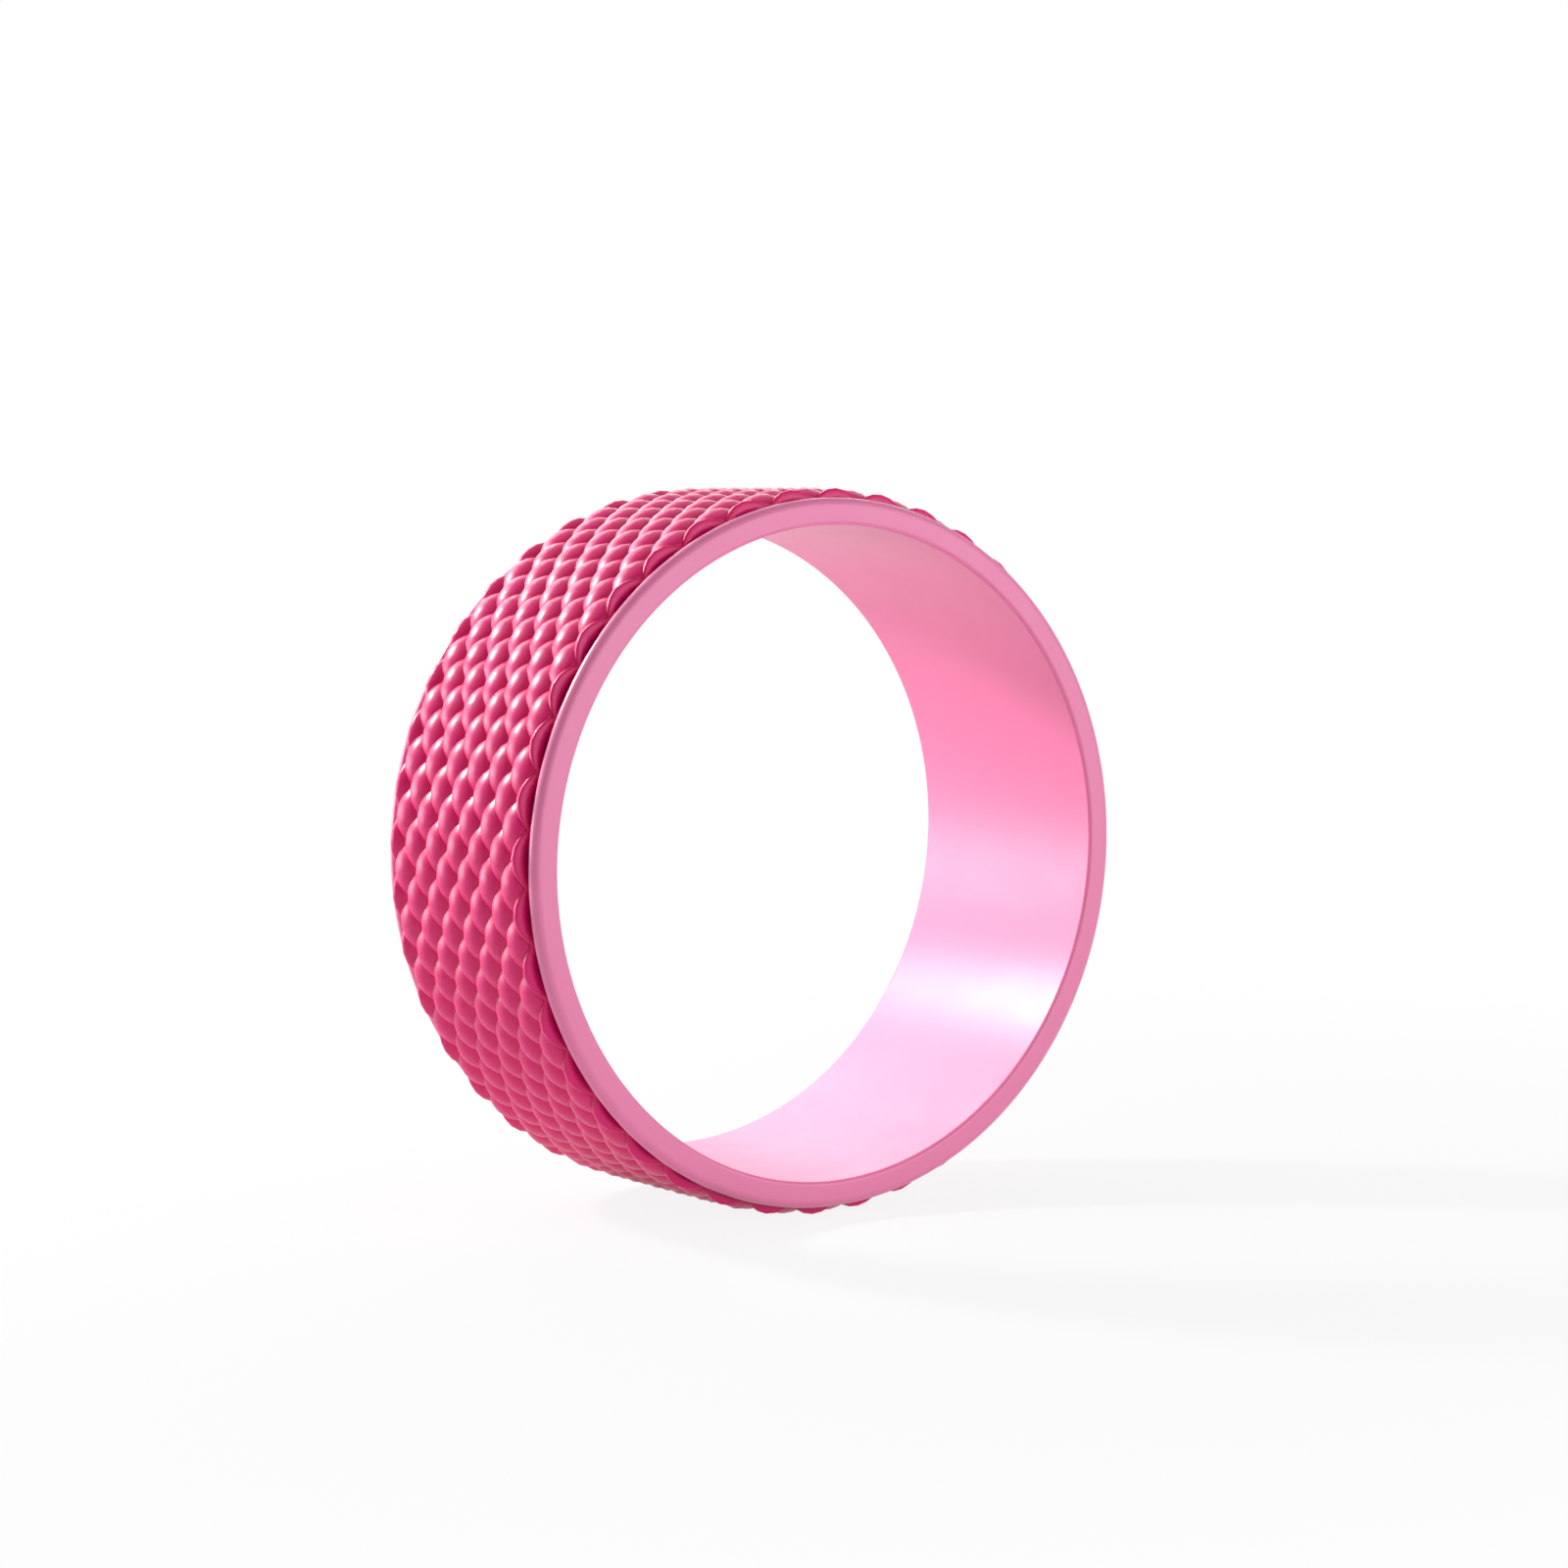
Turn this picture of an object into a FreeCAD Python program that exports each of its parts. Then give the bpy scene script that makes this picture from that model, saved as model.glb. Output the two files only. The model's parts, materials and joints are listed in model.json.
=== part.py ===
"""Yoga wheel: a moulded hoop with a channel round its outside and a soft diamond tread bonded into it.

The wheel stands upright on Z with its axle line along Y, and the origin is the centre of the wheel.
All lengths are in millimetres and all angles in degrees.
"""

import FreeCAD, Part
import math
import os

# Hoop
bore_radius = 148.0
hoop_width = 126.4
wall_thickness = 5.0
rim_height = 7.2
rim_width = 5.9
rim_outer_round = 4.0
rim_bore_round = 2.0
rim_shoulder_round = 0.5

# Short flats along each round, which stay within 0.15 mm of the true arc
rim_outer_flats = 3
rim_bore_flats = 2
rim_shoulder_flats = 1

# Bond between the hoop and the tread
seat_clearance = 0.1
glue_thickness = 0.3
glue_edge_margin = 3.0

# Tread
foot_clearance = 0.3
tread_base_thickness = 6.5
diamond_height = 4.9
side_wall_setback = 4.2
diamonds_round = 40
diamond_columns = 6

# Form of one diamond between its corners and its crest: the height of the middle of its edges, the place
# and height of its shoulder on the way there, and those of the shoulder of the lobe that the side wall cuts
edge_height_share = 0.5
shoulder_size_share = 0.6
shoulder_height_share = 0.84
lobe_size_share = 0.6
lobe_height_share = 0.72

# Places that follow from the sizes above
floor_radius = bore_radius + wall_thickness
rim_radius = floor_radius + rim_height
glue_radius = floor_radius + seat_clearance
tread_bore_radius = glue_radius + glue_thickness + seat_clearance
groove_radius = tread_bore_radius + tread_base_thickness
crest_radius = groove_radius + diamond_height
edge_radius = groove_radius + diamond_height * edge_height_share
half_hoop = hoop_width / 2
half_channel = half_hoop - rim_width
half_foot = half_channel - foot_clearance
half_crest = half_foot - side_wall_setback
groove_rise_share = tread_base_thickness / (tread_base_thickness + diamond_height)
half_groove = half_foot - side_wall_setback * groove_rise_share
column_step = 2 * half_groove / diamond_columns
row_step = 360 / diamonds_round

# The wheel stands on two neighbouring rows of diamonds, so its lowest line lies midway between them
full_row_turn = -90 + row_step / 4
cut_row_turn = full_row_turn - row_step / 2

centre = FreeCAD.Vector(0, 0, 0)
axle = FreeCAD.Vector(0, 1, 0)


def at(turn, along, radius):
    """The point at this turn round the axle, this far along it and this far from it."""
    angle = math.radians(turn)
    return FreeCAD.Vector(radius * math.cos(angle), along, radius * math.sin(angle))


def rounded_outline(corners):
    """A closed outline through (along, radius, round, flats) corners, each round drawn as flats on its arc."""
    points = [at(0, corner[0], corner[1]) for corner in corners]
    outline = []
    for i, (_, _, corner_round, flats) in enumerate(corners):
        corner = points[i]
        before = (points[i - 1] - corner).normalize()
        after = (points[(i + 1) % len(points)] - corner).normalize()
        half_angle = before.getAngle(after) / 2
        reach = corner_round / math.tan(half_angle)
        depth = corner_round / math.sin(half_angle) - corner_round
        middle = corner + (before + after).normalize() * depth
        if corner_round > 0:
            arc = Part.Arc(corner + before * reach, middle, corner + after * reach)
            outline += arc.toShape().discretize(flats + 1)
        else:
            outline.append(corner)
    return Part.makePolygon(outline + outline[:1])


def turned(wire):
    """The solid of revolution of a closed outline about the axle."""
    return Part.Face(wire).revolve(centre, axle, 360)


def make_hoop():
    """A channel section: a plain wall with a rounded rim at each end."""
    one_end = [
        (half_hoop, bore_radius, rim_bore_round, rim_bore_flats),
        (half_hoop, rim_radius, rim_outer_round, rim_outer_flats),
        (half_channel, rim_radius, rim_shoulder_round, rim_shoulder_flats),
        (half_channel, floor_radius, 0, 0),
    ]
    other_end = [(-along, radius, size, flats) for along, radius, size, flats in reversed(one_end)]
    return turned(rounded_outline(one_end + other_end))


def make_glue_film():
    """A thin sleeve on the floor of the channel, short of the tread's edges."""
    half_glue = half_foot - glue_edge_margin
    top_radius = glue_radius + glue_thickness
    corners = [
        (half_glue, glue_radius, 0, 0),
        (half_glue, top_radius, 0, 0),
        (-half_glue, top_radius, 0, 0),
        (-half_glue, glue_radius, 0, 0),
    ]
    return turned(rounded_outline(corners))


def polygon_face(points):
    """The flat face inside these points."""
    return Part.Face(Part.makePolygon(points + points[:1]))


def between(base, crest, corner, size_share, height_share):
    """The point these shares of the way out from the base to a corner and up to the crest."""
    return base + (corner - base) * size_share + (crest - base) * height_share


def flank(base, crest, corner, edge, next_corner):
    """The outer facets on both sides of the middle of an edge, and the shoulder that they share."""
    middle = (corner + next_corner) / 2
    shoulder = between(base, crest, middle, shoulder_size_share, shoulder_height_share)
    return [polygon_face([shoulder, corner, edge]), polygon_face([shoulder, edge, next_corner])], shoulder


def full_diamond():
    """One whole diamond at turn 0 in the middle of the tread."""
    tip_a = at(-row_step / 2, 0, groove_radius)
    tip_b = at(row_step / 2, 0, groove_radius)
    side_a = at(0, -column_step / 2, groove_radius)
    side_b = at(0, column_step / 2, groove_radius)
    base = (tip_a + tip_b) / 2
    crest = at(0, 0, crest_radius)
    corners = [tip_a, side_a, tip_b, side_b]
    signs = [(-1, 1), (-1, -1), (1, -1), (1, 1)]
    edges = [at(turn * row_step / 4, along * column_step / 4, edge_radius) for turn, along in signs]
    flanks = [flank(base, crest, corners[i - 1], edges[i], corners[i]) for i in range(len(corners))]
    faces = []
    for i in range(len(corners)):
        before, after = flanks[i - 1][1], flanks[i][1]
        faces += flanks[i][0]
        faces += [polygon_face([before, corners[i - 1], after]), polygon_face([before, after, crest])]
    return faces


def cut_diamond():
    """One half diamond at turn 0 on the tread's edge, with the lobe of side wall that cuts it."""
    tip_a = at(-row_step / 2, half_groove, groove_radius)
    tip_b = at(row_step / 2, half_groove, groove_radius)
    side = at(0, half_groove - column_step / 2, groove_radius)
    base = (tip_a + tip_b) / 2
    crest = at(0, half_crest, crest_radius)
    edge_a = at(-row_step / 4, half_groove - column_step / 4, edge_radius)
    edge_b = at(row_step / 4, half_groove - column_step / 4, edge_radius)
    faces_a, shoulder_a = flank(base, crest, tip_a, edge_a, side)
    faces_b, shoulder_b = flank(base, crest, side, edge_b, tip_b)
    lobe_a = between(base, crest, tip_a, lobe_size_share, lobe_height_share)
    lobe_b = between(base, crest, tip_b, lobe_size_share, lobe_height_share)
    ring = [tip_a, lobe_a, crest, lobe_b, tip_b]
    inside = [
        [tip_a, lobe_a, shoulder_a],
        [lobe_a, crest, shoulder_a],
        [shoulder_a, crest, shoulder_b],
        [shoulder_a, shoulder_b, side],
        [crest, lobe_b, shoulder_b],
        [lobe_b, tip_b, shoulder_b],
    ]
    return faces_a + faces_b + [polygon_face(points) for points in [ring] + inside]


def side_wall_foot():
    """The side wall from the foot to the notches of the scalloped edge, over one row at turn 0."""
    turns = (-row_step / 2, 0, row_step / 2)
    foot = Part.Arc(*[at(turn, half_foot, tread_bore_radius) for turn in turns]).toShape()
    notches = Part.makeLine(at(turns[0], half_groove, groove_radius), at(turns[2], half_groove, groove_radius))
    return Part.makeRuledSurface(foot, notches)


def tread_bore():
    """The inside of the sleeve over one row at turn 0."""
    turns = (-row_step / 2, 0, row_step / 2)
    foot = Part.Arc(*[at(turn, -half_foot, tread_bore_radius) for turn in turns]).toShape()
    return foot.extrude(axle * (2 * half_foot))


def placed(faces, turn, along):
    """Copies of faces from turn 0, moved along the axle and turned to their place."""
    copies = []
    for face in faces:
        copy = face.copy()
        copy.translate(axle * along)
        copy.rotate(centre, axle, -turn)
        copies.append(copy)
    return copies


def mirrored(faces):
    """The same faces on the other edge of the tread."""
    return [face.mirror(centre, axle) for face in faces]


def make_tread_pad():
    """The sleeve: staggered rows of diamonds, half diamonds on both edges, side walls and bore."""
    diamond = full_diamond()
    edge = cut_diamond() + [side_wall_foot()]
    edges = edge + mirrored(edge) + [tread_bore()]
    full_row = [(i + 0.5) * column_step - half_groove for i in range(diamond_columns)]
    cut_row = [i * column_step - half_groove for i in range(1, diamond_columns)]
    faces = []
    for row in range(diamonds_round):
        for along in full_row:
            faces += placed(diamond, full_row_turn + row * row_step, along)
        for along in cut_row:
            faces += placed(diamond, cut_row_turn + row * row_step, along)
        faces += placed(edges, cut_row_turn + row * row_step, 0)
    sleeve = Part.Compound(faces)
    sleeve.sewShape()
    solid = Part.makeSolid(sleeve.Shells[0])
    if solid.Volume < 0:
        solid.reverse()
    return solid


os.makedirs("parts", exist_ok=True)
parts = {
    "hoop": make_hoop(),
    "glue_film": make_glue_film(),
    "tread_pad": make_tread_pad(),
}
for name, shape in parts.items():
    print(name, shape.ShapeType, "valid", shape.isValid(), "solids", len(shape.Solids), "volume", round(shape.Volume))
    shape.exportStep("parts/" + name + ".step")
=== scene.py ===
"""Yoga wheel: a polished hoop with a soft diamond tread bonded round it, modelled over its solids.

The wheel stands upright with its axle line along Y, and the origin is its centre. Lengths are in metres.
"""

import json
import math

import bmesh
import bpy
from bpy.props import FloatProperty, FloatVectorProperty, IntProperty, PointerProperty
from bpy.types import Operator, Panel, PropertyGroup
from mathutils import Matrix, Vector


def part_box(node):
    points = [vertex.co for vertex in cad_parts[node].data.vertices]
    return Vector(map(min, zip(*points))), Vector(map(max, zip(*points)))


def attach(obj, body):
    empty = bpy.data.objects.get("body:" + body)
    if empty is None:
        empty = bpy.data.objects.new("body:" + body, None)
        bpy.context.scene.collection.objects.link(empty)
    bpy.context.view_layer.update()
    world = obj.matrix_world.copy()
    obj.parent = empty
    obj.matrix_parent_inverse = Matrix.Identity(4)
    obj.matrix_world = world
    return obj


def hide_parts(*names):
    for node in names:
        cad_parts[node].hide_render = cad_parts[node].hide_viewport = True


bl_info = {
    "name": "Yoga Wheel",
    "version": (1, 0, 0),
    "blender": (4, 5, 0),
    "location": "3D View > Sidebar > Yoga Wheel",
    "description": "Models a yoga wheel: a polished hoop, its diamond tread, and a plain studio round it",
    "category": "Object",
}

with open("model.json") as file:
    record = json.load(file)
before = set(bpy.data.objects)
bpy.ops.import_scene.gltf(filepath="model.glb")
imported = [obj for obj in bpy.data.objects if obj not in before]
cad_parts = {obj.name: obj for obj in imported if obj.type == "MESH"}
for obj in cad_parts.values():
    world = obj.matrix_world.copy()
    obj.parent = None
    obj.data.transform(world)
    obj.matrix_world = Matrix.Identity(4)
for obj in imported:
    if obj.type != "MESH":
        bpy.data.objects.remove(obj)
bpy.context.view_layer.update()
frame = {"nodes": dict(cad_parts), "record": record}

# Sizes that the solids give
hoop_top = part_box("hoop")[1]
tread_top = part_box("tread_pad")[1]
glue_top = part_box("glue_film")[1]
floor_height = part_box("tread_pad")[0].z
bore_mount = next(mount for mount in frame["record"]["mounts"] if mount["name"] == "bore")
millimetre = 0.001
diamonds_round = 40

# The crests nearest to the X axis lie a quarter of a row away from it
crest_radius = tread_top.x / math.cos(math.tau / diamonds_round / 4)

axle = Vector((0, 1, 0))
centre = Vector((0, 0, 0))
weld_distance = 1e-6
seat_clearance = 0.0001

# Steps along each rounded edge
bore_round_steps = 6
outer_round_steps = 8
shoulder_round_steps = 3
cut_edge_steps = 2

# Soft boxes: the setting that holds the power of each, where it stands, and its width and height
soft_boxes = {
    "key_light": ("key_power", (-0.72, 1.15, 0.90), (0.2, 0.2)),
    "back_panel": ("panel_power", (-1.3, 1.8, 0.18), (1.5, 0.64)),
    "fill_light": ("fill_power", (0.6, -1.7, 0.4), (2.4, 1.2)),
    "top_light": ("top_power", (0.08, 1.3, 1.03), (0.7, 0.5)),
    "low_light": ("low_power", (0.55, 1.5, 0.75), (1.8, 0.6)),
}

# The floor takes a light shadow out to the first radius and is plain white from the second
shadow_radius = 0.3
white_radius = 1.0
white_near_wheel = 0.88
paper_colour = (0.7, 0.7, 0.7, 1.0)
plain_white = (1.0, 1.0, 1.0, 1.0)


class HoopSizes(PropertyGroup):
    """Sizes of the moulded hoop"""

    bore_radius: FloatProperty(
        name="Bore radius",
        description="From the axle line to the smooth inner wall",
        default=bore_mount["dims"]["r_mm"] * millimetre,
        unit="LENGTH",
    )
    rim_radius: FloatProperty(
        name="Rim radius",
        description="From the axle line to the outside of the rims",
        default=hoop_top.x,
        unit="LENGTH",
    )
    half_width: FloatProperty(
        name="Half width",
        description="From the middle of the hoop to the end face of a rim",
        default=hoop_top.y,
        unit="LENGTH",
    )
    wall_thickness: FloatProperty(
        name="Wall thickness",
        description="Thickness of the wall under the tread",
        default=0.005,
        unit="LENGTH",
    )
    tread_gap: FloatProperty(
        name="Gap at the tread",
        description="Clearance between the foot of the tread and the flank of a rim",
        default=0.0003,
        unit="LENGTH",
    )
    outer_round: FloatProperty(
        name="Outer round",
        description="Radius of the edge between the end face and the outside of a rim",
        default=0.004,
        unit="LENGTH",
    )
    bore_round: FloatProperty(
        name="Bore round",
        description="Radius of the edge between the end face and the inner wall",
        default=0.002,
        unit="LENGTH",
    )
    shoulder_round: FloatProperty(
        name="Shoulder round",
        description="Radius of the edge between the outside of a rim and its flank beside the tread",
        default=0.0015,
        unit="LENGTH",
    )
    steps_round: IntProperty(
        name="Steps round",
        description="Number of steps in one turn of the hoop",
        default=240,
    )


class TreadSizes(PropertyGroup):
    """Sizes of the soft diamond tread"""

    crest_radius: FloatProperty(
        name="Crest radius",
        description="From the axle line to the crests of the diamonds",
        default=crest_radius,
        unit="LENGTH",
    )
    half_foot: FloatProperty(
        name="Half width at the foot",
        description="From the middle of the tread to the foot of its side wall",
        default=tread_top.y,
        unit="LENGTH",
    )
    bore_radius: FloatProperty(
        name="Bore radius",
        description="From the axle line to the inside of the tread",
        default=glue_top.x + seat_clearance,
        unit="LENGTH",
    )
    diamond_height: FloatProperty(
        name="Diamond height",
        description="Height of a crest above the deep corners between the diamonds",
        default=0.0049,
        unit="LENGTH",
    )
    wall_setback: FloatProperty(
        name="Side wall setback",
        description="How far the side wall leans in between its foot and the crests",
        default=0.0042,
        unit="LENGTH",
    )
    edge_round: FloatProperty(
        name="Edge round",
        description="Width of the rounded edge where the side wall cuts the diamonds",
        default=0.0011,
        unit="LENGTH",
    )
    diamond_columns: IntProperty(
        name="Diamonds across",
        description="Number of diamonds across the tread",
        default=6,
    )
    diamond_cuts: IntProperty(
        name="Cuts in a diamond",
        description="Number of cuts along each side of a diamond's four flanks",
        default=3,
    )
    diamond_fullness: FloatProperty(
        name="Diamond fullness",
        description="Power of the fall from the crest: 1 is a pyramid, 2 is a dome, and more is flatter on top",
        default=2.0,
    )


class WheelFinish(PropertyGroup):
    """Colours of the wheel"""

    hoop_colour: FloatVectorProperty(
        name="Hoop",
        description="Colour of the polished plastic",
        default=(0.84, 0.22, 0.425),
        subtype="COLOR",
    )
    hoop_deep_colour: FloatVectorProperty(
        name="Hoop, deeper",
        description="Colour of the denser streaks in the plastic",
        default=(0.825, 0.21, 0.41),
        subtype="COLOR",
    )
    tread_colour: FloatVectorProperty(
        name="Tread",
        description="Colour of the soft tread on its crests",
        default=(0.81, 0.004, 0.205),
        subtype="COLOR",
    )
    # Painted shade: the tread is mixed towards this darker colour down in its grooves; it is also the deeper
    # tone of the tread's random mottle.
    tread_groove_shade_and_mottle_colour: FloatVectorProperty(
        name="Tread, grooves",
        description="Colour of the soft tread down in its grooves",
        default=(0.74, 0.002, 0.135),
        subtype="COLOR",
    )
    glue_colour: FloatVectorProperty(
        name="Adhesive",
        description="Colour of the cured adhesive",
        default=(0.82, 0.76, 0.62),
        subtype="COLOR",
    )
    glue_deep_colour: FloatVectorProperty(
        name="Adhesive, thick",
        description="Colour of the adhesive where it lies thicker",
        default=(0.66, 0.54, 0.34),
        subtype="COLOR",
    )


class StudioSetting(PropertyGroup):
    """Camera and lights"""

    camera_place: FloatVectorProperty(
        name="Camera",
        description="Where the camera stands",
        default=(-0.9966, -1.4165, 0.1608),
        subtype="TRANSLATION",
    )
    camera_aim: FloatVectorProperty(
        name="Camera aim",
        description="The point in the middle of the picture",
        default=(0.0115, -0.0052, 0.0278),
        subtype="TRANSLATION",
    )
    camera_lens: FloatProperty(
        name="Lens",
        description="Focal length in millimetres on a 36 mm sensor",
        default=86.19,
    )
    floor_size: FloatProperty(
        name="Floor size",
        description="Length of a side of the floor",
        default=12.0,
        unit="LENGTH",
    )
    key_power: FloatProperty(
        name="Key light",
        description="Power of the small soft box behind the wheel on its left",
        default=26.0,
        unit="POWER",
    )
    panel_power: FloatProperty(
        name="Back panel",
        description="Power of the low soft box behind the wheel on its left",
        default=22.0,
        unit="POWER",
    )
    fill_power: FloatProperty(
        name="Fill light",
        description="Power of the large soft box in front of the wheel",
        default=24.5,
        unit="POWER",
    )
    top_power: FloatProperty(
        name="Top light",
        description="Power of the small soft box high behind the wheel",
        default=4.5,
        unit="POWER",
    )
    low_power: FloatProperty(
        name="Low light",
        description="Power of the long soft box behind the wheel on its right",
        default=8.5,
        unit="POWER",
    )
    room_strength: FloatProperty(
        name="Room light",
        description="How much of the room's brightness lights the wheel",
        default=0.3,
    )
    front_strength: FloatProperty(
        name="Front of the room",
        description="How bright the room in front of the wheel is, where the backdrop is 1",
        default=0.5,
    )


def new_piece(name, bm, material):
    """An object of the wheel made from a finished bmesh, smooth where no edge is marked sharp."""
    mesh = bpy.data.meshes.new(name)
    for face in bm.faces:
        face.smooth = True
    bm.to_mesh(mesh)
    bm.free()
    mesh.materials.append(material)
    piece = bpy.data.objects.new(name, mesh)
    bpy.context.scene.collection.objects.link(piece)
    level = piece.modifiers.new("flats_stay_flat", "WEIGHTED_NORMAL")
    level.keep_sharp = True
    return piece


def new_group(name, inputs, outputs):
    """An empty shader node group with these named sockets, and its input and output nodes."""
    group = bpy.data.node_groups.new(name, "ShaderNodeTree")
    for socket_name, kind, default in inputs:
        socket = group.interface.new_socket(socket_name, in_out="INPUT", socket_type=kind)
        if default is not None:
            socket.default_value = default
    for socket_name, kind in outputs:
        group.interface.new_socket(socket_name, in_out="OUTPUT", socket_type=kind)
    return group, group.nodes.new("NodeGroupInput"), group.nodes.new("NodeGroupOutput")


def colour_mix(tree):
    """A Mix node for colours, with its factor, two colours and result."""
    mix = tree.nodes.new("ShaderNodeMix")
    mix.data_type = "RGBA"
    sockets = {socket.identifier: socket for socket in [*mix.inputs, *mix.outputs]}
    return sockets["Factor_Float"], sockets["A_Color"], sockets["B_Color"], sockets["Result_Color"]


def mottle_group():
    """Shared effect: two close colours that drift into each other over a moulded surface."""
    group, given, result = new_group(
        "moulded_mottle",
        [
            ("Vector", "NodeSocketVector", None),
            ("Color", "NodeSocketColor", None),
            ("Deep Color", "NodeSocketColor", None),
            ("Scale", "NodeSocketFloat", 20.0),
        ],
        [("Color", "NodeSocketColor")],
    )
    noise = group.nodes.new("ShaderNodeTexNoise")
    noise.inputs["Detail"].default_value = 4.0
    factor, first, second, mixed = colour_mix(group)
    group.links.new(given.outputs["Vector"], noise.inputs["Vector"])
    group.links.new(given.outputs["Scale"], noise.inputs["Scale"])
    group.links.new(noise.outputs["Fac"], factor)
    group.links.new(given.outputs["Color"], first)
    group.links.new(given.outputs["Deep Color"], second)
    group.links.new(mixed, result.inputs["Color"])
    return group


def handled_group():
    """Shared effect: the roughness and fine grain of a moulded surface that hands have rubbed."""
    group, given, result = new_group(
        "handled_surface",
        [
            ("Vector", "NodeSocketVector", None),
            ("Rub Scale", "NodeSocketFloat", 30.0),
            ("Grain Scale", "NodeSocketFloat", 900.0),
            ("Smooth", "NodeSocketFloat", 0.2),
            ("Rough", "NodeSocketFloat", 0.3),
        ],
        [("Roughness", "NodeSocketFloat"), ("Height", "NodeSocketFloat")],
    )
    rub = group.nodes.new("ShaderNodeTexNoise")
    rub.inputs["Detail"].default_value = 6.0
    rub.inputs["Distortion"].default_value = 1.5
    grain = group.nodes.new("ShaderNodeTexNoise")
    grain.inputs["Detail"].default_value = 2.0
    spread = group.nodes.new("ShaderNodeMapRange")
    spread.inputs["From Min"].default_value = 0.3
    spread.inputs["From Max"].default_value = 0.7
    group.links.new(given.outputs["Vector"], rub.inputs["Vector"])
    group.links.new(given.outputs["Rub Scale"], rub.inputs["Scale"])
    group.links.new(given.outputs["Vector"], grain.inputs["Vector"])
    group.links.new(given.outputs["Grain Scale"], grain.inputs["Scale"])
    group.links.new(rub.outputs["Fac"], spread.inputs["Value"])
    group.links.new(given.outputs["Smooth"], spread.inputs["To Min"])
    group.links.new(given.outputs["Rough"], spread.inputs["To Max"])
    group.links.new(spread.outputs["Result"], result.inputs["Roughness"])
    group.links.new(grain.outputs["Fac"], result.inputs["Height"])
    return group


def shared_group(make):
    """The node group of one of the shared effects, made the first time that a material asks for it."""
    name = {mottle_group: "moulded_mottle", handled_group: "handled_surface"}[make]
    return bpy.data.node_groups.get(name) or make()


def new_finish(name, bump_distance):
    """A material with a Principled shader, the two shared effects and a bump, all on Object coordinates."""
    material = bpy.data.materials.new(name)
    material.use_nodes = True
    tree = material.node_tree
    shader = tree.nodes["Principled BSDF"]
    place = tree.nodes.new("ShaderNodeTexCoord")
    mapping = tree.nodes.new("ShaderNodeMapping")
    mottle = tree.nodes.new("ShaderNodeGroup")
    mottle.node_tree = shared_group(mottle_group)
    handled = tree.nodes.new("ShaderNodeGroup")
    handled.node_tree = shared_group(handled_group)
    bump = tree.nodes.new("ShaderNodeBump")
    bump.inputs["Distance"].default_value = bump_distance
    tree.links.new(place.outputs["Object"], mapping.inputs["Vector"])
    tree.links.new(mapping.outputs["Vector"], mottle.inputs["Vector"])
    tree.links.new(mapping.outputs["Vector"], handled.inputs["Vector"])
    tree.links.new(mottle.outputs["Color"], shader.inputs["Base Color"])
    tree.links.new(handled.outputs["Roughness"], shader.inputs["Roughness"])
    tree.links.new(handled.outputs["Height"], bump.inputs["Height"])
    tree.links.new(bump.outputs["Normal"], shader.inputs["Normal"])
    return material, shader, mottle, handled, bump


def opaque(colour):
    """A colour property's value with full alpha, as a colour socket takes it."""
    return (*colour, 1.0)


def hoop_plastic(finish):
    """Polished pink plastic: faint flow marks, a clear gloss and slightly rubbed patches."""
    material, shader, mottle, handled, bump = new_finish("hoop_plastic", 0.00002)
    mottle.inputs["Color"].default_value = opaque(finish.hoop_colour)
    mottle.inputs["Deep Color"].default_value = opaque(finish.hoop_deep_colour)
    mottle.inputs["Scale"].default_value = 14.0
    handled.inputs["Rub Scale"].default_value = 25.0
    handled.inputs["Grain Scale"].default_value = 1200.0
    handled.inputs["Smooth"].default_value = 0.35
    handled.inputs["Rough"].default_value = 0.42
    bump.inputs["Strength"].default_value = 0.1
    shader.inputs["Coat Weight"].default_value = 0.25
    shader.inputs["Coat Roughness"].default_value = 0.33
    shader.inputs["Specular IOR Level"].default_value = 0.38
    return material


def tread_rubber(finish):
    """Soft magenta rubber, mixed towards a darker colour down in its grooves as painted shade, with a random
    mottle and rubbed roughness.
    """
    material, shader, mottle, handled, bump = new_finish("tread_rubber", 0.00004)
    tree = material.node_tree
    relief = tree.nodes.new("ShaderNodeAttribute")
    relief.attribute_name = "relief"
    # Painted shade: the colour falls from the crest colour to the darker groove colour as the relief share
    # falls.
    factor, groove, crest, mixed = colour_mix(tree)
    groove.default_value = opaque(finish.tread_groove_shade_and_mottle_colour)
    crest.default_value = opaque(finish.tread_colour)
    tree.links.new(relief.outputs["Fac"], factor)
    tree.links.new(mixed, mottle.inputs["Color"])
    mottle.inputs["Deep Color"].default_value = opaque(finish.tread_groove_shade_and_mottle_colour)
    mottle.inputs["Scale"].default_value = 60.0
    handled.inputs["Rub Scale"].default_value = 120.0
    handled.inputs["Grain Scale"].default_value = 2500.0
    handled.inputs["Smooth"].default_value = 0.34
    handled.inputs["Rough"].default_value = 0.42
    bump.inputs["Strength"].default_value = 0.2
    shader.inputs["Specular IOR Level"].default_value = 0.45
    return material


def glue(finish):
    """Cured adhesive: dull, cream coloured, with thicker and thinner places."""
    material, shader, mottle, handled, bump = new_finish("glue", 0.0001)
    mottle.inputs["Color"].default_value = opaque(finish.glue_colour)
    mottle.inputs["Deep Color"].default_value = opaque(finish.glue_deep_colour)
    mottle.inputs["Scale"].default_value = 90.0
    handled.inputs["Smooth"].default_value = 0.45
    handled.inputs["Rough"].default_value = 0.7
    handled.inputs["Grain Scale"].default_value = 400.0
    return material


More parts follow.
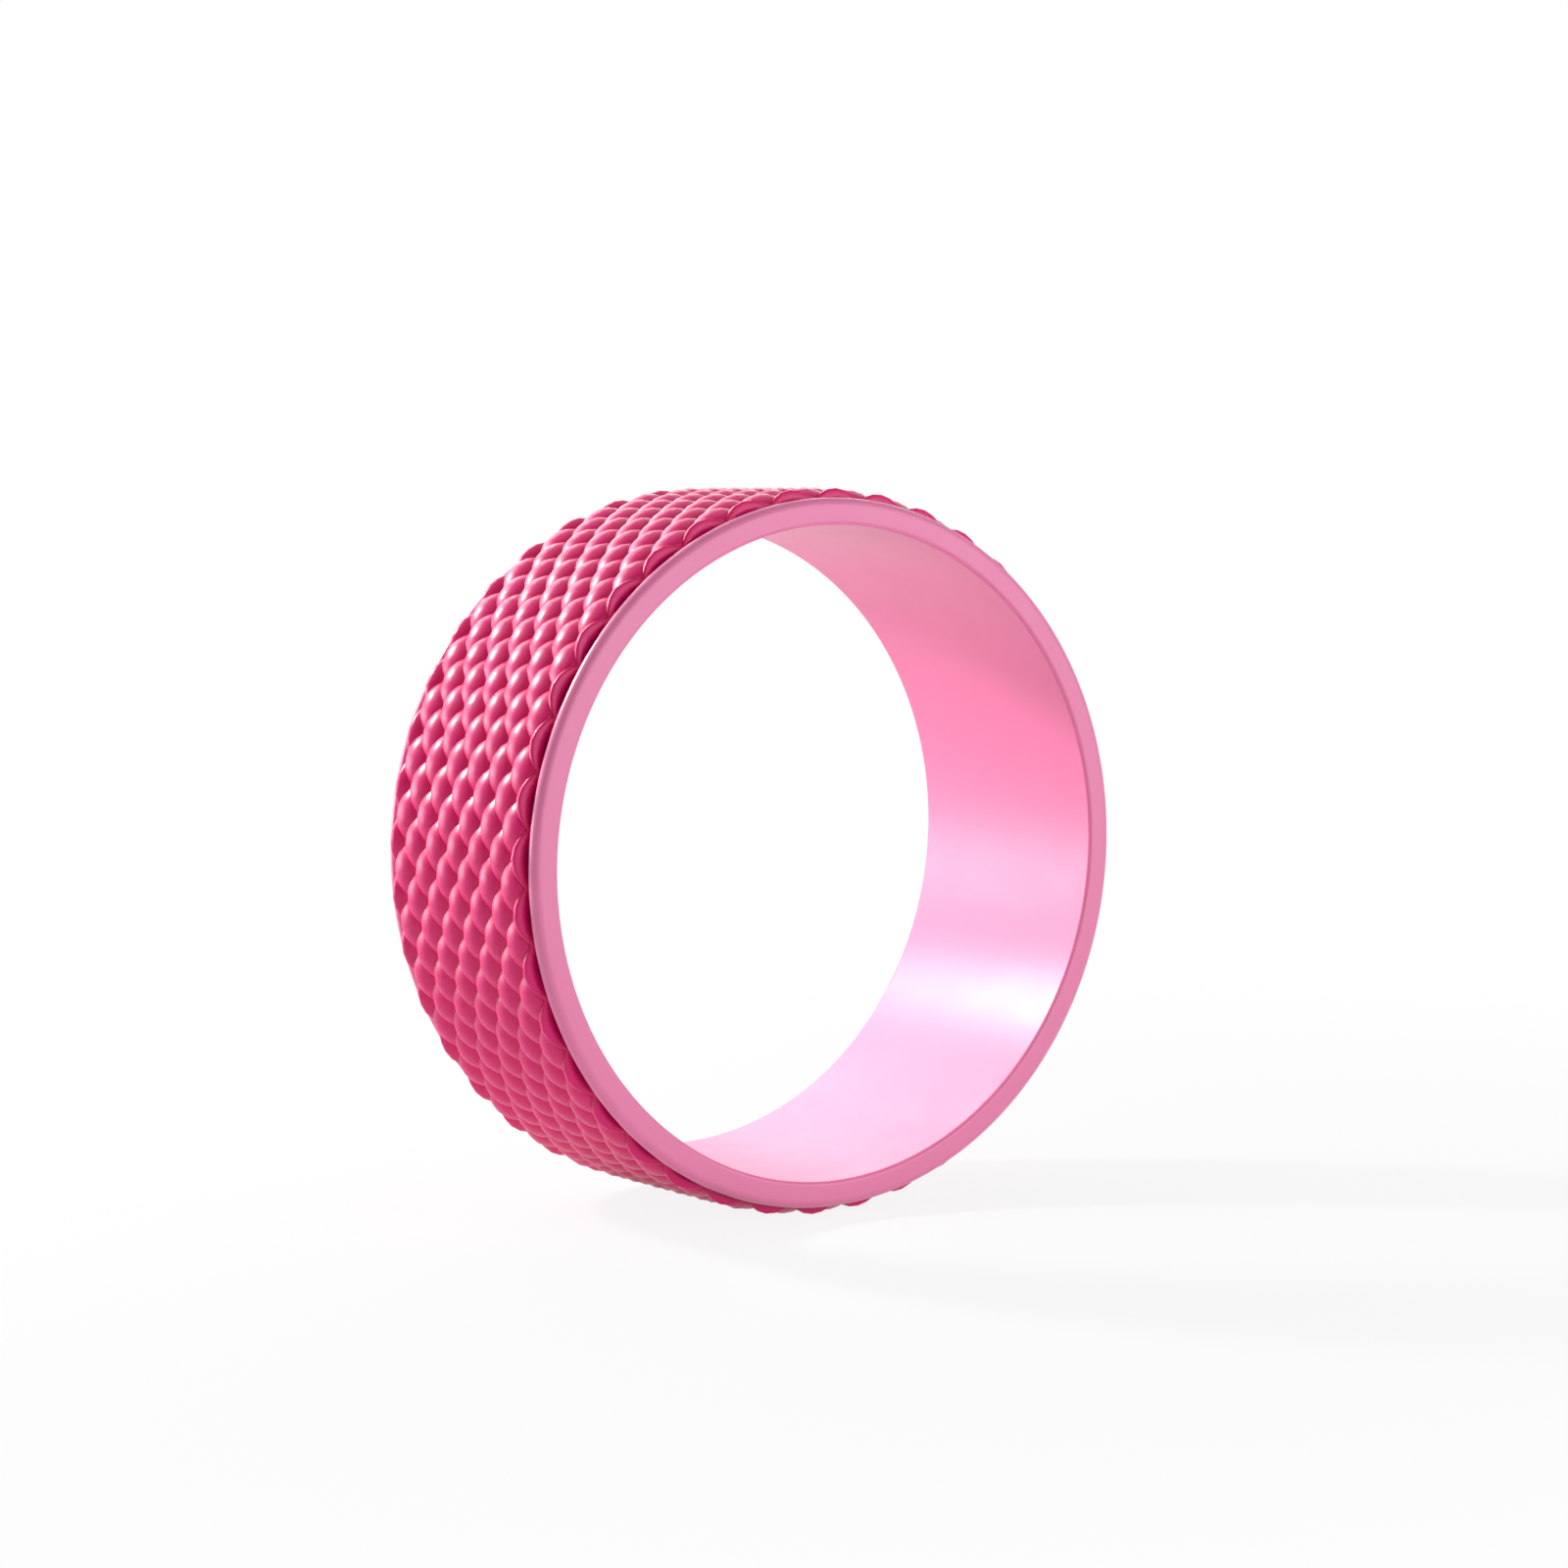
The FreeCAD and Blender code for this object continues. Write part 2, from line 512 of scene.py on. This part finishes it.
def hoop_section(bm, hoop, half_channel):
    """The channel section as one face in the plane through the axle, with its edges rounded."""
    floor_radius = hoop.bore_radius + hoop.wall_thickness
    one_end = [
        (hoop.half_width, hoop.bore_radius, hoop.bore_round, bore_round_steps),
        (hoop.half_width, hoop.rim_radius, hoop.outer_round, outer_round_steps),
        (half_channel, hoop.rim_radius, hoop.shoulder_round, shoulder_round_steps),
        (half_channel, floor_radius, 0.0, 0),
    ]
    other_end = [(-along, *rest) for along, *rest in reversed(one_end)]
    corners = one_end + other_end
    verts = [bm.verts.new((radius, along, 0.0)) for along, radius, _, _ in corners]
    bm.faces.new(verts)
    for vert, (_, _, corner_round, segments) in zip(verts, corners):
        if segments:
            bmesh.ops.bevel(
                bm,
                geom=[vert],
                offset=corner_round,
                offset_type="OFFSET",
                segments=segments,
                profile=0.5,
                affect="VERTICES",
                material=-1,
            )


class WHEEL_OT_hoop(Operator):
    """Turn the channel section into the hoop with its two rounded rims"""

    bl_idname = "yoga_wheel.hoop"
    bl_label = "Hoop"

    def execute(self, context):
        hoop = context.scene.wheel_hoop
        half_channel = context.scene.wheel_tread.half_foot + hoop.tread_gap
        bm = bmesh.new()
        hoop_section(bm, hoop, half_channel)
        bmesh.ops.delete(bm, geom=bm.faces[:], context="FACES_ONLY")
        bmesh.ops.spin(
            bm,
            geom=bm.verts[:] + bm.edges[:],
            cent=centre,
            axis=axle,
            angle=math.tau,
            steps=hoop.steps_round,
            use_merge=True,
        )
        bmesh.ops.recalc_face_normals(bm, faces=bm.faces[:])
        piece = new_piece("moulded_hoop", bm, hoop_plastic(context.scene.wheel_finish))
        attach(piece, "root")
        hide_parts("hoop")
        return {"FINISHED"}


def verts_of(geom):
    """The vertices in a mixed list of bmesh elements."""
    return [element for element in geom if isinstance(element, bmesh.types.BMVert)]


def copied(bm, geom, move):
    """A copy of this geometry, moved."""
    copy = bmesh.ops.duplicate(bm, geom=geom)["geom"]
    bmesh.ops.translate(bm, verts=verts_of(copy), vec=move)
    return copy


def swell(along, across, tread):
    """Height of a diamond as a share, at this share of the way to its tip and to its side corner."""
    fall = abs(along) ** tread.diamond_fullness + abs(across) ** tread.diamond_fullness
    return max(0.0, 1 - fall)


def flat_diamond(bm, tread, pitch, column_step):
    """One diamond unrolled: X along the tread, Y across it and Z up from the grooves."""
    relief = bm.verts.layers.float["relief"]
    bmesh.ops.create_circle(bm, cap_ends=True, cap_tris=True, segments=4, radius=1.0)
    bmesh.ops.subdivide_edges(bm, edges=bm.edges[:], cuts=tread.diamond_cuts, use_grid_fill=True)
    for edge in bm.edges:
        edge.smooth = not edge.is_boundary
    for vert in bm.verts:
        reach = abs(vert.co.x) + abs(vert.co.y)
        crowd = math.sin(math.pi / 2 * reach) / reach if reach > 0 else 1.0
        along, across = vert.co.xy * crowd
        # The relief share also sets how much painted groove shade the rubber gets.
        vert[relief] = swell(along, across, tread)
        vert.co = (along * pitch / 2, across * column_step / 2, vert[relief] * tread.diamond_height)
    return bm.verts[:] + bm.edges[:] + bm.faces[:]


def cut_edge(bm, tread, diamond, pitch, column_step, half_groove, base_thickness):
    """Half a diamond on the tread's edge, leaning back with the side wall, and the wall below it."""
    cut_layer = bm.edges.layers.int["cut"]
    whole = copied(bm, diamond, (0.0, half_groove, 0.0))
    halved = bmesh.ops.bisect_plane(
        bm,
        geom=whole,
        dist=weld_distance,
        plane_co=(0.0, half_groove, 0.0),
        plane_no=axle,
        clear_outer=True,
    )
    rim = [edge for edge in halved["geom_cut"] if isinstance(edge, bmesh.types.BMEdge)]
    half = [element for element in halved["geom"] if element.is_valid]
    for vert in verts_of(half):
        reach = max(weld_distance, 1 - abs(vert.co.x) / (pitch / 2))
        nearness = max(0.0, 1 - (half_groove - vert.co.y) / (column_step / 2) / reach)
        lean = tread.wall_setback * vert.co.z / (base_thickness + tread.diamond_height)
        vert.co.y -= lean * nearness
    for edge in rim:
        edge[cut_layer] = 1
    wall = bmesh.ops.extrude_edge_only(bm, edges=rim)["geom"]
    for vert in verts_of(wall):
        vert.co.y = tread.half_foot
        vert.co.z = -base_thickness
    for edge in wall:
        if isinstance(edge, bmesh.types.BMEdge):
            edge[cut_layer] = 0
    return half + wall


class WHEEL_OT_tread(Operator):
    """Model one diamond, repeat it over one row, roll the row up and repeat it round the hoop"""

    bl_idname = "yoga_wheel.tread"
    bl_label = "Diamond tread"

    def execute(self, context):
        tread = context.scene.wheel_tread
        groove_radius = tread.crest_radius - tread.diamond_height
        base_thickness = groove_radius - tread.bore_radius
        lean_share = base_thickness / (base_thickness + tread.diamond_height)
        half_groove = tread.half_foot - tread.wall_setback * lean_share
        column_step = 2 * half_groove / tread.diamond_columns
        row_turn = math.tau / diamonds_round
        pitch = row_turn * groove_radius
        bm = bmesh.new()
        bm.verts.layers.float.new("relief")
        cut_layer = bm.edges.layers.int.new("cut")
        diamond = flat_diamond(bm, tread, pitch, column_step)
        edge = cut_edge(bm, tread, diamond, pitch, column_step, half_groove, base_thickness)
        far_edge = bmesh.ops.duplicate(bm, geom=edge)["geom"]
        bmesh.ops.scale(bm, vec=(1.0, -1.0, 1.0), verts=verts_of(far_edge))
        for column in range(1, tread.diamond_columns):
            copied(bm, diamond, (0.0, column * column_step - half_groove, 0.0))
        for column in range(tread.diamond_columns):
            copied(bm, diamond, (pitch / 2, (column + 0.5) * column_step - half_groove, 0.0))
        bmesh.ops.delete(bm, geom=verts_of(diamond), context="VERTS")
        start_turn = -math.tau / 4 - row_turn / 4
        for vert in bm.verts:
            turn = start_turn + vert.co.x / groove_radius
            radius = groove_radius + vert.co.z
            vert.co = (radius * math.cos(turn), vert.co.y, radius * math.sin(turn))
        bmesh.ops.spin(
            bm,
            geom=bm.verts[:] + bm.edges[:] + bm.faces[:],
            cent=centre,
            axis=axle,
            angle=math.tau - row_turn,
            steps=diamonds_round - 1,
            use_duplicate=True,
        )
        bmesh.ops.remove_doubles(bm, verts=bm.verts[:], dist=weld_distance)
        bmesh.ops.bevel(
            bm,
            geom=[edge for edge in bm.edges if edge[cut_layer]],
            offset=tread.edge_round,
            offset_type="OFFSET",
            segments=cut_edge_steps,
            profile=0.5,
            affect="EDGES",
            material=-1,
            clamp_overlap=True,
        )
        bmesh.ops.bridge_loops(bm, edges=[edge for edge in bm.edges if edge.is_boundary])
        bmesh.ops.recalc_face_normals(bm, faces=bm.faces[:])
        piece = new_piece("diamond_tread", bm, tread_rubber(context.scene.wheel_finish))
        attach(piece, "root")
        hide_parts("tread_pad")
        return {"FINISHED"}


class WHEEL_OT_glue(Operator):
    """Give the film of adhesive between the hoop and the tread its finish"""

    bl_idname = "yoga_wheel.glue"
    bl_label = "Adhesive"

    def execute(self, context):
        film = frame["nodes"]["glue_film"]
        film.data.materials.clear()
        film.data.materials.append(glue(context.scene.wheel_finish))
        return {"FINISHED"}


def either_ray(tree, kinds):
    """A socket that is 1 for rays of any of these kinds and 0 for others."""
    path = tree.nodes.new("ShaderNodeLightPath")
    found = path.outputs[kinds[0]]
    for kind in kinds[1:]:
        either = tree.nodes.new("ShaderNodeMath")
        either.operation = "MAXIMUM"
        tree.links.new(found, either.inputs[0])
        tree.links.new(path.outputs[kind], either.inputs[1])
        found = either.outputs["Value"]
    return found


def value_mix(tree):
    """A Mix node for plain values, with its factor, two values and result."""
    mix = tree.nodes.new("ShaderNodeMix")
    sockets = {socket.identifier: socket for socket in [*mix.inputs, *mix.outputs]}
    return sockets["Factor_Float"], sockets["A_Float"], sockets["B_Float"], sockets["Result_Float"]


def white_surround(strength, front_strength):
    """A world that shows white, reflects as a white backdrop in a dim room and lights with a share of it."""
    world = bpy.data.worlds.new("studio")
    world.use_nodes = True
    tree = world.node_tree
    place = tree.nodes.new("ShaderNodeTexCoord")
    ahead = tree.nodes.new("ShaderNodeVectorMath")
    ahead.operation = "DOT_PRODUCT"
    ahead.inputs[1].default_value = axle
    room = tree.nodes.new("ShaderNodeMapRange")
    room.interpolation_type = "SMOOTHSTEP"
    room.inputs["From Min"].default_value = -0.3
    room.inputs["From Max"].default_value = 0.5
    room.inputs["To Min"].default_value = front_strength
    tree.links.new(place.outputs["Generated"], ahead.inputs[0])
    tree.links.new(ahead.outputs["Value"], room.inputs["Value"])
    dimmed = tree.nodes.new("ShaderNodeMath")
    dimmed.operation = "MULTIPLY"
    dimmed.inputs[1].default_value = strength
    tree.links.new(room.outputs["Result"], dimmed.inputs[0])
    reflected, lit, mirrored, unseen = value_mix(tree)
    tree.links.new(either_ray(tree, ["Is Glossy Ray", "Is Transmission Ray"]), reflected)
    tree.links.new(dimmed.outputs["Value"], lit)
    tree.links.new(room.outputs["Result"], mirrored)
    shown, hidden, white, level = value_mix(tree)
    white.default_value = 1.0
    tree.links.new(either_ray(tree, ["Is Camera Ray"]), shown)
    tree.links.new(unseen, hidden)
    background = tree.nodes["Background"]
    background.inputs["Color"].default_value = plain_white
    tree.links.new(level, background.inputs["Strength"])
    bpy.context.scene.world = world


def floor_paper():
    """White paper that takes a light shadow near the wheel and fades to the white surround further off."""
    material = bpy.data.materials.new("floor_paper")
    material.use_nodes = True
    tree = material.node_tree
    paper = tree.nodes["Principled BSDF"]
    paper.inputs["Base Color"].default_value = paper_colour
    paper.inputs["Roughness"].default_value = 0.9
    paper.inputs["Specular IOR Level"].default_value = 0.1
    place = tree.nodes.new("ShaderNodeTexCoord")
    spread = tree.nodes.new("ShaderNodeVectorMath")
    spread.operation = "LENGTH"
    fade = tree.nodes.new("ShaderNodeMapRange")
    fade.interpolation_type = "SMOOTHSTEP"
    fade.inputs["From Min"].default_value = shadow_radius
    fade.inputs["From Max"].default_value = white_radius
    fade.inputs["To Min"].default_value = white_near_wheel
    shown = tree.nodes.new("ShaderNodeMath")
    shown.operation = "MULTIPLY"
    white = tree.nodes.new("ShaderNodeEmission")
    mix = tree.nodes.new("ShaderNodeMixShader")
    seen = either_ray(tree, ["Is Camera Ray", "Is Glossy Ray", "Is Transmission Ray"])
    tree.links.new(place.outputs["Object"], spread.inputs[0])
    tree.links.new(spread.outputs["Value"], fade.inputs["Value"])
    tree.links.new(fade.outputs["Result"], shown.inputs[0])
    tree.links.new(seen, shown.inputs[1])
    tree.links.new(shown.outputs["Value"], mix.inputs["Fac"])
    tree.links.new(paper.outputs["BSDF"], mix.inputs[1])
    tree.links.new(white.outputs["Emission"], mix.inputs[2])
    tree.links.new(mix.outputs["Shader"], tree.nodes["Material Output"].inputs["Surface"])
    return material


def pale_floor(size):
    """A plain white floor under the wheel."""
    bm = bmesh.new()
    bmesh.ops.create_grid(bm, x_segments=1, y_segments=1, size=size / 2)
    bmesh.ops.translate(bm, verts=bm.verts[:], vec=(0.0, 0.0, floor_height))
    mesh = bpy.data.meshes.new("studio_floor")
    bm.to_mesh(mesh)
    bm.free()
    mesh.materials.append(floor_paper())
    floor = bpy.data.objects.new("studio_floor", mesh)
    bpy.context.scene.collection.objects.link(floor)


def soft_box(name, power, place, width, height):
    """A rectangular soft light at this place, turned to the wheel and hidden from the camera."""
    lamp = bpy.data.lights.new(name, "AREA")
    lamp.shape = "RECTANGLE"
    lamp.size = width
    lamp.size_y = height
    lamp.energy = power
    light = bpy.data.objects.new(name, lamp)
    light.location = place
    light.rotation_euler = (-Vector(place)).to_track_quat("-Z", "Y").to_euler()
    light.visible_camera = False
    bpy.context.scene.collection.objects.link(light)


class WHEEL_OT_studio(Operator):
    """Set up the floor, the lights, the white surround and the camera"""

    bl_idname = "yoga_wheel.studio"
    bl_label = "Studio"

    def execute(self, context):
        studio = context.scene.wheel_studio
        white_surround(studio.room_strength, studio.front_strength)
        pale_floor(studio.floor_size)
        for name, (power, place, size) in soft_boxes.items():
            soft_box(name, getattr(studio, power), place, *size)
        camera = bpy.data.cameras.new("camera")
        camera.lens = studio.camera_lens
        camera.sensor_width = 36.0
        stand = bpy.data.objects.new("camera", camera)
        stand.location = studio.camera_place
        look = Vector(studio.camera_aim) - Vector(studio.camera_place)
        stand.rotation_euler = look.to_track_quat("-Z", "Y").to_euler()
        context.scene.collection.objects.link(stand)
        context.scene.camera = stand
        context.scene.view_settings.view_transform = "Standard"
        return {"FINISHED"}


class WHEEL_PT_panel(Panel):
    """The steps that build the wheel, with the sizes that each one reads"""

    bl_idname = "WHEEL_PT_panel"
    bl_label = "Yoga Wheel"
    bl_space_type = "VIEW_3D"
    bl_region_type = "UI"
    bl_category = "Yoga Wheel"

    def draw(self, context):
        for step in steps:
            self.layout.operator(step.bl_idname)
        for name in settings:
            group = getattr(context.scene, name)
            box = self.layout.box()
            for key in group.bl_rna.properties.keys():
                if key not in {"rna_type", "name"}:
                    box.prop(group, key)


settings = {
    "wheel_hoop": HoopSizes,
    "wheel_tread": TreadSizes,
    "wheel_finish": WheelFinish,
    "wheel_studio": StudioSetting,
}
steps = (WHEEL_OT_hoop, WHEEL_OT_tread, WHEEL_OT_glue, WHEEL_OT_studio)
classes = (*settings.values(), *steps, WHEEL_PT_panel)


def register():
    """Add the classes, and the settings on the scene."""
    for cls in classes:
        bpy.utils.register_class(cls)
    for name, group in settings.items():
        setattr(bpy.types.Scene, name, PointerProperty(type=group))


def unregister():
    """Take the settings and the classes away again."""
    for name in settings:
        delattr(bpy.types.Scene, name)
    for cls in reversed(classes):
        bpy.utils.unregister_class(cls)


def main():
    """Build the wheel and its studio."""
    register()
    bpy.ops.yoga_wheel.hoop()
    bpy.ops.yoga_wheel.tread()
    bpy.ops.yoga_wheel.glue()
    bpy.ops.yoga_wheel.studio()


if __name__ == "__main__":
    main()
